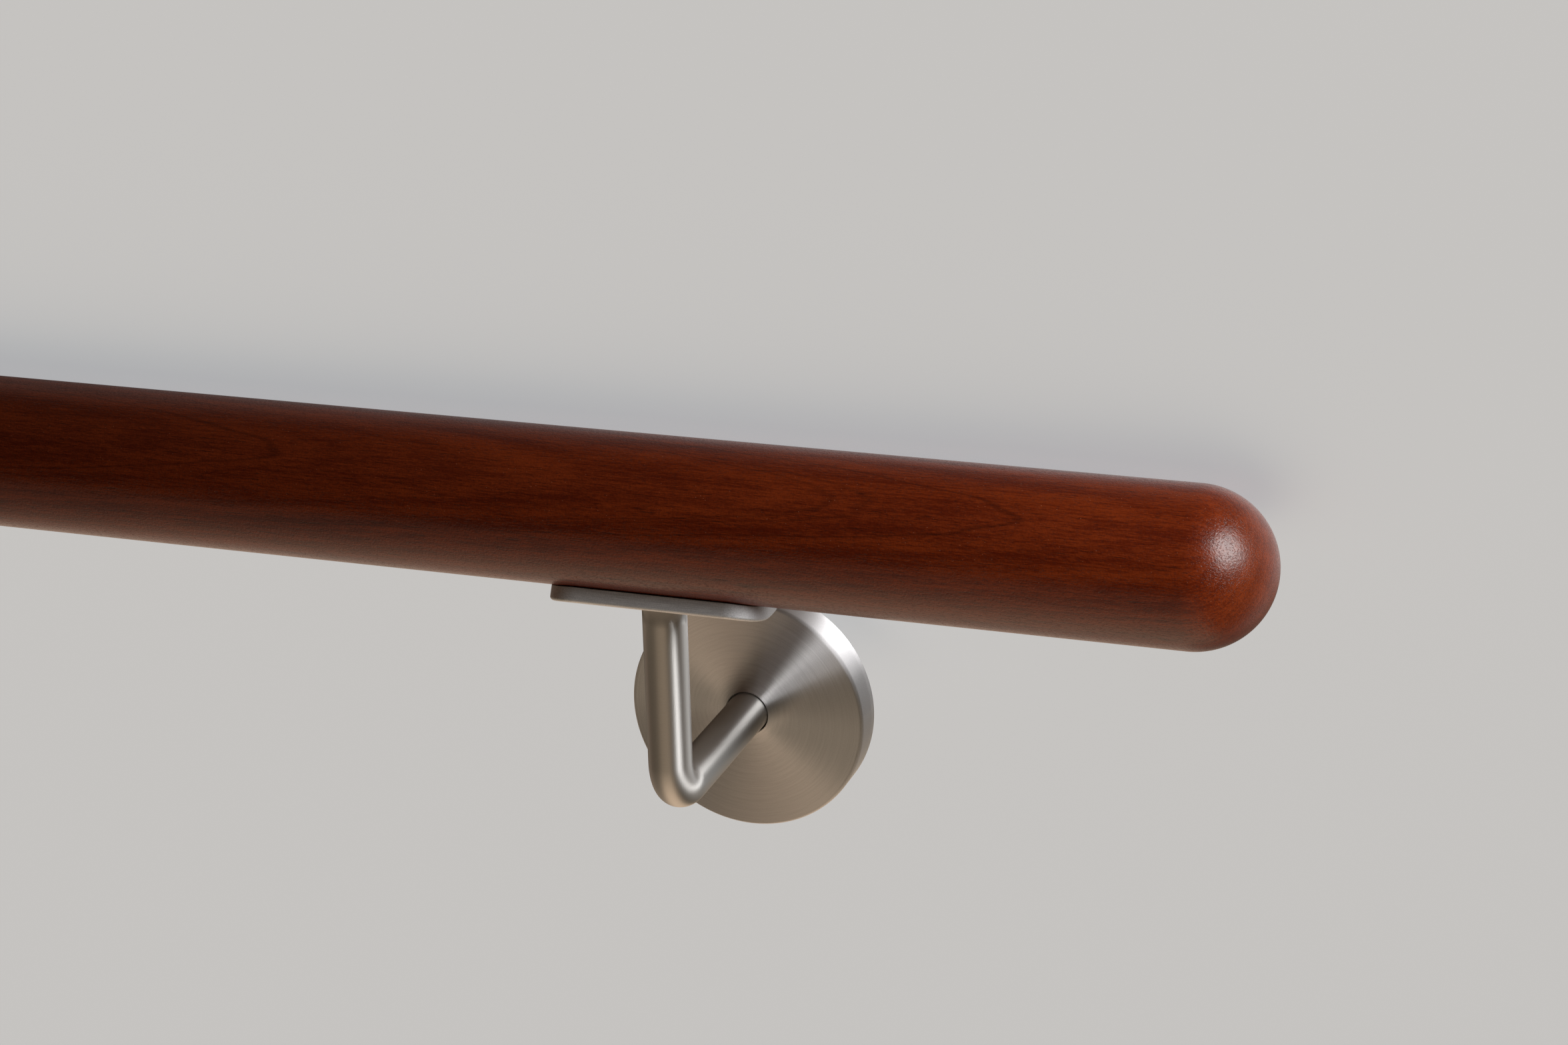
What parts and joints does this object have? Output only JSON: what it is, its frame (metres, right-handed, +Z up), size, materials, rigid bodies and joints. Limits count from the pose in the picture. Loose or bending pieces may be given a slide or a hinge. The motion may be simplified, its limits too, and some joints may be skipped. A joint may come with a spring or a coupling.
{
  "type": "stair handrail",
  "caption": "Round wooden stair handrail with ball-shaped ends, carried on bent-rod brushed steel brackets with curved saddle plates and round cover rosettes.",
  "frame": {"origin": "on the floor under the middle of the outline, halfway along the rail", "axes": "+X along the rail towards the end that the picture leaves out, +Y from the rail towards the rosettes, +Z up from the floor that the part lies on"},
  "size_m": [1, 0.1544, 0.0769],
  "materials": {
    "lacquered_wood": "red-brown stained hardwood under satin clear lacquer",
    "brushed_steel": "fine brushed stainless steel",
    "rosette_steel": "stainless steel brushed in circles",
    "flange_steel": "plain cut stainless steel",
    "screw_steel": "bright stainless steel"
  },
  "bodies": {
    "root": {"handrail": "lacquered_wood", "right_saddle_plate": "brushed_steel", "right_bracket_rod": "brushed_steel", "right_fixing_flange": "flange_steel", "right_cover_rosette": "rosette_steel", "right_saddle_screw_outer": "screw_steel", "right_saddle_screw_inner": "screw_steel", "left_saddle_plate": "brushed_steel", "left_bracket_rod": "brushed_steel", "left_fixing_flange": "flange_steel", "left_cover_rosette": "rosette_steel", "left_saddle_screw_outer": "screw_steel", "left_saddle_screw_inner": "screw_steel"}
  },
  "joints": []
}
